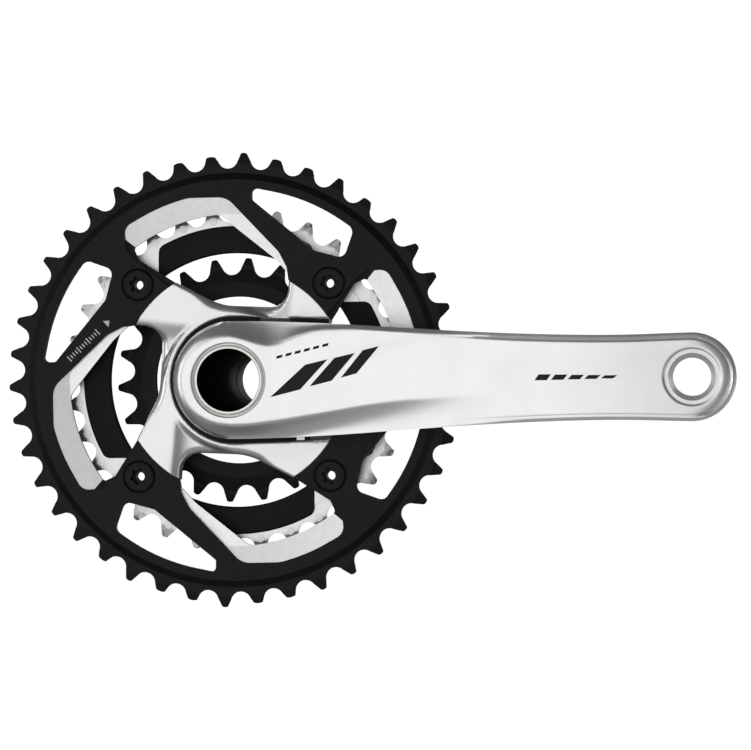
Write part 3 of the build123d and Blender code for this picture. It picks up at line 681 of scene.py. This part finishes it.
def arm_front(points, edge):
    """Sculpted outer face: y at each point, edge being its distance to the outline."""
    x, z = points[:, 0], points[:, 1]
    r = np.hypot(x, z)
    eye = np.hypot(x - ARM, z)
    wide = half_width(x)

    # Scoops above and below the crest, and round the hub's rim behind the axle.
    rim = soft_positive(r - RIM_R, CREASE_LIP)
    up = soft_positive(z - curve(x, UPPER_CREASE), CREASE_LIP)
    down = soft_positive(-z - curve(x, LOWER_CREASE), CREASE_LIP)
    up_t = np.clip(up / (wide - curve(x, UPPER_CREASE)), 0, 1)
    down_t = np.clip(down / (wide - curve(x, LOWER_CREASE)), 0, 1)
    rim_t = np.clip(rim / (HUB_R - RIM_R), 0, 1)
    hollow = 1.3 + fade(x, 18, 44)
    side = fade(x, -19, 0)
    rim_shape = (side * (1 - (1 - rim_t) ** hollow) + (1 - side) * rim_t ** 2.1)
    tuck = TUCK_DEPTH * np.clip((rim_t - 0.72) / 0.28, 0, 1) ** 2 * fade(x, 0, -10)
    scoop = np.where(x >= 0,
                     np.where(z > 0, curve(x, UPPER_DEPTH) * (1 - (1 - up_t) ** hollow),
                              curve(x, LOWER_DEPTH) * (1 - (1 - down_t) ** hollow)),
                     RIM_DEPTH * rim_shape + tuck)

    # Bevel along the outline, a slight fold above the print, and a groove beside the edge.
    bevel = soft_positive(BEVEL - edge, BEVEL_LIP) * (1 - 0.55 * fade(x, 60, 100))
    sunk = bevel + soft_positive(scoop - bevel, 0.2)
    above = -PRINT_SLOPE * (x - 15.5) + 0.970 * (z + 3.0)
    sunk = sunk + FOLD_DEPTH * fade(above, 0, 8) * fade(x, 22, 44) * fade(x, 112, 72)
    groove = 0.16 + 0.34 * ease(np.maximum(z / 4, (x - ARM) / 8))
    groove = groove * np.exp(-((edge - GROOVE_AT) / GROOVE_WIDTH) ** 2)
    sunk = sunk + groove * fade(x, 75, 115)

    # Bowl round the pedal eye, its spot face and ring, and the step at the axle's recess.
    bowl = np.clip((eye - 11.0) / 3.4, 0, 1) ** 1.6 * fade(edge, 1.9, 2.4)
    sunk = sunk + BOWL_DEPTH * bowl * fade(x, 172, 184)
    sunk = sunk + STEP_DEPTH * (1 - fade(eye, 9.9, 10.8))
    sunk = sunk + EYE_RING_DEPTH * np.exp(-((eye - EYE_RING_R) / EYE_RING_WIDTH) ** 2)
    sunk = sunk + STEP_DEPTH * (1 - fade(r, RECESS_R, RECESS_R + 0.35))
    return curve(x, FRONT) + sunk


def arm_back(points, edge):
    """Plain rear face with an eased edge and a spot face round the pedal eye."""
    x, z = points[:, 0], points[:, 1]
    eye = np.hypot(x - ARM, z)
    spot = BACK_SPOT_DEPTH * (1 - fade(eye, 11.4, 13.0))
    return curve(x, BACK) - soft_positive(BACK_BEVEL - edge, 0.3) - spot


def make_arm(material):
    outline = arm_loop()
    shell = Shell()
    recess = circle_loop(RECESS_R, step=0.6)
    socket, bore = recess * SOCKET_R / RECESS_R, recess * BORE_R / RECESS_R
    eye = circle_loop(MOUTH_R, ARM, step=0.5)
    boss = circle_loop(BOSS_R)
    eye_rails = [circle_loop(r, ARM, 0.6) for r in EYE_RAILS]
    hub_rails = [circle_loop(r, step=0.7) for r in (RECESS_R + 0.15, RECESS_R + 0.4)]
    flat, faces = sheet(outline, [recess, eye], FRONT_RINGS, 0.7, eye_rails + hub_rails)
    shell.surface(flat, faces, arm_front(flat, distance_to(flat, outline)))
    flat, faces = sheet(outline, [boss, eye], BACK_RINGS, 1.6)
    shell.surface(flat, faces, arm_back(flat, distance_to(flat, outline)))
    zero = np.zeros(len(outline))
    top, bottom = arm_front(outline, zero), arm_back(outline, zero)
    shell.wall([(outline, top + (bottom - top) * k / SIDE_STEPS) for k in range(SIDE_STEPS + 1)])
    shell.wall([(recess, arm_front(recess, distance_to(recess, outline))),
                (recess, RECESS_FLOOR), (socket, RECESS_FLOOR), (socket, SOCKET_FLOOR),
                (bore, SOCKET_FLOOR), (bore, BOSS_END)])
    ring, ring_faces = sheet(boss, [bore], (), 1.5)
    shell.surface(ring, ring_faces, np.full(len(ring), BOSS_END))
    shell.wall([(boss, arm_back(boss, distance_to(boss, outline))), (boss, BOSS_END)])
    centre = np.array([ARM, 0.0])

    def eye_ring(r):
        return centre + (eye - centre) * r / MOUTH_R

    front = arm_front(eye, distance_to(eye, outline))
    back = arm_back(eye, distance_to(eye, outline))
    threads = [(eye_ring(THREAD_R if k % 2 else THREAD_ROOT_R),
                THREAD_START + k * THREAD_LENGTH / THREAD_STEPS) for k in range(THREAD_STEPS + 1)]
    shell.wall([(eye, front), (eye_ring(RELIEF_R), front + 1.5)] + threads
               + [(eye_ring(RELIEF_R), back - 1.0), (eye, back)])
    piece = shell.piece("arm_forging", material)
    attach(piece, "crank")
    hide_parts("crank_arm")
    return outline


# ---- spider ------------------------------------------------------------------
SPIDER_R, SPIDER_FACE, SPIDER_CUT = 43.6, -60.8, -57.3
POCKET_R, POCKET_FLOOR, POCKET_TAPER = 24.1, -60.4, 0.029
FORGING_SHARP = 42
DOME, FILLET, LIP, DEEPEST = 0.5, 0.6, 0.35, 3.3
FACET_EDGE, FACET_SLANT, FACET_DEPTH = 22.4, 0.09, 2.5
FACET_FALL, LOWER_LEFT_FALL = (0.12, 0.036), (0.42, -0.016)
SPIDER_RINGS = (0.3, 0.7, 1.1, 1.6, 2.1, 2.6, 3.1)
WINDOW = [(21.3, 37.9, 0), (20.6, 27.6, 7), (-5.2, 28.6, 24), (-22.3, 37.4, 0)]


def rounded_path(corners, step=0.7):
    """Open path through (x, z, radius) corners, with arcs at the corners."""
    points = [np.array(corners[0][:2])]
    for k in range(1, len(corners) - 1):
        before, here, after = (np.array(c[:2], float) for c in corners[k - 1:k + 2])
        r = corners[k][2]
        a = (before - here) / np.linalg.norm(before - here)
        b = (after - here) / np.linalg.norm(after - here)
        half = math.acos(float(np.clip(a @ b, -1, 1))) / 2
        back = r / math.tan(half)
        middle = here + (a + b) / np.linalg.norm(a + b) * r / math.sin(half)
        start, end = here + a * back - middle, here + b * back - middle
        turn = math.pi - 2 * half
        sign = 1 if start[0] * end[1] - start[1] * end[0] > 0 else -1
        for i in range(max(3, int(turn * r / step)) + 1):
            t = sign * turn * i / max(3, int(turn * r / step))
            c, s = math.cos(t), math.sin(t)
            points.append(middle + np.array((c * start[0] - s * start[1],
                                             s * start[0] + c * start[1])))
    points.append(np.array(corners[-1][:2]))
    return spread(np.array(points), step)


def spread(points, step):
    """The same path with extra points wherever two lie further apart than step."""
    result = []
    for a, b in zip(points[:-1], points[1:]):
        count = max(1, int(np.linalg.norm(b - a) / step))
        result += [a + (b - a) * k / count for k in range(count)]
    return np.array(result + [points[-1]])


def turned(points, degrees):
    """Points turned about the axle."""
    c, s = math.cos(math.radians(degrees)), math.sin(math.radians(degrees))
    return np.stack([c * points[:, 0] - s * points[:, 1],
                     s * points[:, 0] + c * points[:, 1]], 1)


def spider_loops():
    """Outer loop of the pinwheel, and its four window edges."""
    edge = rounded_path(WINDOW)
    start = math.degrees(math.atan2(edge[-1][1], edge[-1][0]))
    end = math.degrees(math.atan2(edge[0][1], edge[0][0])) + 90
    first, last = np.linalg.norm(edge[-1]), np.linalg.norm(edge[0])
    bend = np.linspace(0, 1, 34)[1:-1]
    angle = np.radians(start + (end - start) * bend)
    r = first + (last - first) * bend
    arc = np.stack([r * np.cos(angle), r * np.sin(angle)], 1)
    quarter = np.concatenate([edge, arc])
    loop = np.concatenate([turned(quarter, 90 * k) for k in range(4)])
    return loop, [turned(edge, 90 * k) for k in range(4)]


def pocket_gap(points):
    """Signed distance outside the arm's pocket, which is open to the right."""
    x, z = points[:, 0], np.abs(points[:, 1])
    hub = np.hypot(x, z) - POCKET_R
    side = z - (POCKET_R - POCKET_TAPER * x)
    return np.where(x > 0, side, hub)


def spider_front(points, windows):
    """Gently domed pinwheel; a facet dips behind each window's tight corner."""
    x, z = points[:, 0], points[:, 1]
    r = np.hypot(x, z)
    dome = DOME * (1 - fade(r, 24.0, 41.0))
    wall = 1 - fade(r, 25.5, 27.9)
    dip = np.zeros(len(points))
    for k in range(4):
        local = turned(points, -90 * k)
        u, v = local[:, 0], local[:, 1]
        past = np.clip(soft_positive(FACET_EDGE + FACET_SLANT * (v - 14) - u, 0.9), 0, 11)
        here = fade(v, 6, 11) * fade(u, -1, 9) * fade(u, 27.5, 23.5)
        steep, bend = LOWER_LEFT_FALL if k == 2 else FACET_FALL
        fall = steep * past + bend * past ** 2
        dip = np.maximum(dip, here * FACET_DEPTH * np.tanh(fall / FACET_DEPTH))
    sunk = dip * (1 - wall)
    lip = LIP * (1 - fade(pocket_gap(points), 0, 0.5))
    gap = np.min([path_distance(points, path) for path in windows], axis=0)
    wide = 1.1 + 1.8 * (1 - fade(r, 29.5, 37.5))
    fillet = FILLET * np.clip(wide - gap, 0, None) ** 2 / wide
    return SPIDER_FACE + np.minimum(sunk + lip + fillet - dome, DEEPEST)


def pocket_line(gap):
    """Closed outline of the arm's pocket, moved outwards by gap; it ends past the rim."""
    r = POCKET_R + gap
    angle = np.radians(np.linspace(90, 270, 96))
    arc = np.stack([r * np.cos(angle), r * np.sin(angle)], 1)
    run = np.arange(0.7, 50, 0.7)
    side = r - POCKET_TAPER * run
    return np.concatenate([np.stack([run, side], 1)[::-1], arc, np.stack([run, -side], 1)])


def make_spider(material):
    loop, windows = spider_loops()
    shell = Shell()
    bore = circle_loop(BOSS_R, step=0.8)
    half_wall = 0.06
    near, far = pocket_line(0.0), pocket_line(2 * half_wall)
    rails = [line[inside(line, loop) & (distance_to(line, loop) > 0.3)] for line in (near, far)]
    flat, faces = sheet(loop, [bore], SPIDER_RINGS, 0.6, rails)
    front = spider_front(flat, windows)
    shell.surface(flat, faces, np.where(pocket_gap(flat) < half_wall, POCKET_FLOOR, front))
    rim = np.where(pocket_gap(loop) < half_wall, POCKET_FLOOR, spider_front(loop, windows))
    shell.wall([(loop, rim + (SPIDER_CUT - rim) * k / 3) for k in range(4)])
    shell.wall([(bore, POCKET_FLOOR), (bore, SPIDER_CUT)])
    under, under_faces = sheet(loop, [bore], (), 2.5)
    shell.surface(under, under_faces, np.full(len(under), SPIDER_CUT))
    piece = shell.piece("spider_forging", material, FORGING_SHARP)
    add_cut_copy(piece, "spider", SPIDER_CUT + 0.02)
    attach(piece, "crank")
    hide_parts("spider")
    return windows


def band(outer, inner, top, bottom):
    """Closed strip between two open paths, with its top and bottom y at each point."""
    count = len(outer)
    rows = [np.stack([path[:, 0], np.broadcast_to(y, (count,)), path[:, 1]], 1)
            for path, y in ((outer, top), (inner, top), (inner, bottom), (outer, bottom))]
    faces = [(3 * count, 2 * count, count, 0),
             (count - 1, 2 * count - 1, 3 * count - 1, 4 * count - 1)]
    for r in range(4):
        n = (r + 1) % 4
        for k in range(count - 1):
            faces.append((r * count + k, r * count + k + 1, n * count + k + 1, n * count + k))
    shell = Shell()
    shell.add(np.concatenate(rows), faces)
    return shell


def make_seam(windows, dark, silver):
    """Black sheet laid in the gap round the arm as painted shade, and the small key set in it."""
    shade_sheet_gap, shade_sheet_width, shade_sheet_drop, shade_sheet_depth = 0.02, 1.7, 0.25, 1.6
    key_start, key_end, key_drop, key_depth = 24.0, 27.0, 0.1, 1.1
    middle = pocket_line(0.0)
    keep = np.hypot(middle[:, 0], middle[:, 1]) < SPIDER_R - 0.3
    outer, inner = pocket_line(-shade_sheet_gap)[keep], pocket_line(-shade_sheet_gap - shade_sheet_width)[keep]
    level = spider_front(pocket_line(0.3)[keep], windows) + shade_sheet_drop
    # Painted shade: a black sheet laid in the gap round the arm, where there is only shade.
    shade_sheet = band(outer, inner, level, level + shade_sheet_depth).piece("arm_gap_shade", dark)
    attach(shade_sheet, "crank")
    run = np.linspace(key_start, key_end, 6)
    high = np.stack([run, -(POCKET_R - 0.3 - POCKET_TAPER * run)], 1)
    low = np.stack([run, -(POCKET_R - 1.4 - POCKET_TAPER * run)], 1)
    face = spider_front(high - np.array((0, 0.5)), windows) + key_drop
    key = band(high, low, face, face + key_depth).piece("seam_key", silver)
    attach(key, "crank")


def add_cut_copy(piece, node, from_y):
    """Adds the part of a CAD node that lies behind from_y, closed where it is cut."""
    bm = bmesh.new()
    bm.from_mesh(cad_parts[node].data)
    bmesh.ops.remove_doubles(bm, verts=bm.verts, dist=0.001 * MM)
    cut = bmesh.ops.bisect_plane(bm, geom=bm.verts[:] + bm.edges[:] + bm.faces[:],
                                 plane_co=(0, from_y * MM, 0), plane_no=(0, -1, 0),
                                 clear_outer=True)
    rim = [e for e in cut["geom_cut"] if isinstance(e, bmesh.types.BMEdge)]
    bmesh.ops.triangle_fill(bm, edges=rim, use_beauty=True, use_dissolve=False)
    bm.from_mesh(piece.data)
    bm.to_mesh(piece.data)
    bm.free()
    piece.data.set_sharp_from_angle(angle=math.radians(FORGING_SHARP))


# ---- printed marks: plain stripes and dashes ----------------------------------
PRINT_DEPTH = 0.05
STRIPES = [[(16.0, -6.6), (27.5, -3.7), (38.0, 7.6), (29.4, 5.6)],
           [(31.0, -2.6), (39.5, -0.5), (48.4, 9.9), (40.6, 8.1)],
           [(43.0, 0.6), (49.0, 2.2), (57.6, 12.4), (51.4, 10.9)]]


def mark(corners, height, step=0.9):
    """Thin print that follows a surface: a closed slip, half sunk in it."""
    loop = spread(np.array(corners + corners[:1], float), step)[:-1]
    area = np.sum(loop[:, 0] * np.roll(loop[:, 1], -1) - np.roll(loop[:, 0], -1) * loop[:, 1])
    if area < 0:
        loop = loop[::-1].copy()
    flat, faces = sheet(loop, [], (), step)
    shell = Shell()
    shell.surface(flat, faces, height(flat) - PRINT_DEPTH)
    shell.surface(flat, faces, height(flat) + PRINT_DEPTH)
    shell.wall([(loop, height(loop) - PRINT_DEPTH), (loop, height(loop) + PRINT_DEPTH)])
    return shell


def bar(x0, z0, x1, z1, width0, width1, slant=0.0):
    """Four corners of a bar between two points, with its own width at each end."""
    along = np.array((x1 - x0, z1 - z0)) / math.hypot(x1 - x0, z1 - z0)
    side = np.array((-along[1], along[0]))
    ends = [np.array((x0, z0)) + side * width0 / 2 + along * slant,
            np.array((x0, z0)) - side * width0 / 2 - along * slant,
            np.array((x1, z1)) - side * width1 / 2 - along * slant,
            np.array((x1, z1)) + side * width1 / 2 + along * slant]
    return [tuple(p) for p in ends]


def print_marks(name, shapes, height, material):
    whole = Shell()
    for shape in shapes:
        part = mark(shape, height)
        whole.add(part.verts, part.faces)
    piece = whole.piece(name, material)
    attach(piece, "crank")


def make_marks(outline):
    ink = plastic("black_ink", grey(INK_BLACK), 0.45)
    white = plastic("white_ink", grey(0.62), 0.5)

    def on_arm(points):
        return arm_front(points, distance_to(points, outline))

    shapes = list(STRIPES)
    dash, dash_pitch, dash_width = 2.3, 3.5, 1.0
    for k in range(6):
        x = 18.5 + dash_pitch * k
        shapes.append(bar(x, 8.3 + PRINT_SLOPE * (x - 18),
                          x + dash, 8.3 + PRINT_SLOPE * (x + dash - 18),
                          dash_width, dash_width, 0.3))
    bold, bold_pitch = 4.6, 6.2
    for k in range(5):
        x = 117.0 + bold_pitch * k
        width = 2.2 - 0.25 * k
        shapes.append(bar(x, 0.2, x + bold, 0.2, width, width, 0.8))
    print_marks("arm_print", shapes, on_arm, ink)

    def on_ring(points):
        return np.full(len(points), ring_front / MM)

    ticks = []
    tick_pitch, tick_width, long_tick, short_tick = 1.25, 0.42, 1.35, 0.8
    start, along = np.array((-63.4, 8.6)), np.array((0.731, 0.682))
    side = np.array((-along[1], along[0]))
    for k in range(13):
        middle = start + along * tick_pitch * k
        reach = side * (long_tick if k % 4 == 0 else short_tick)
        ticks.append(bar(*(middle - reach), *(middle + reach), tick_width, tick_width))
    tip = start + along * 19.4
    ticks.append([tuple(tip + along * 1.9), tuple(tip + side * 1.6), tuple(tip - side * 1.6)])
    print_marks("ring_print", ticks, on_ring, white)


bpy.context.scene.view_settings.view_transform = "Standard"
set_camera()
set_lights()
set_stage()
set_materials()
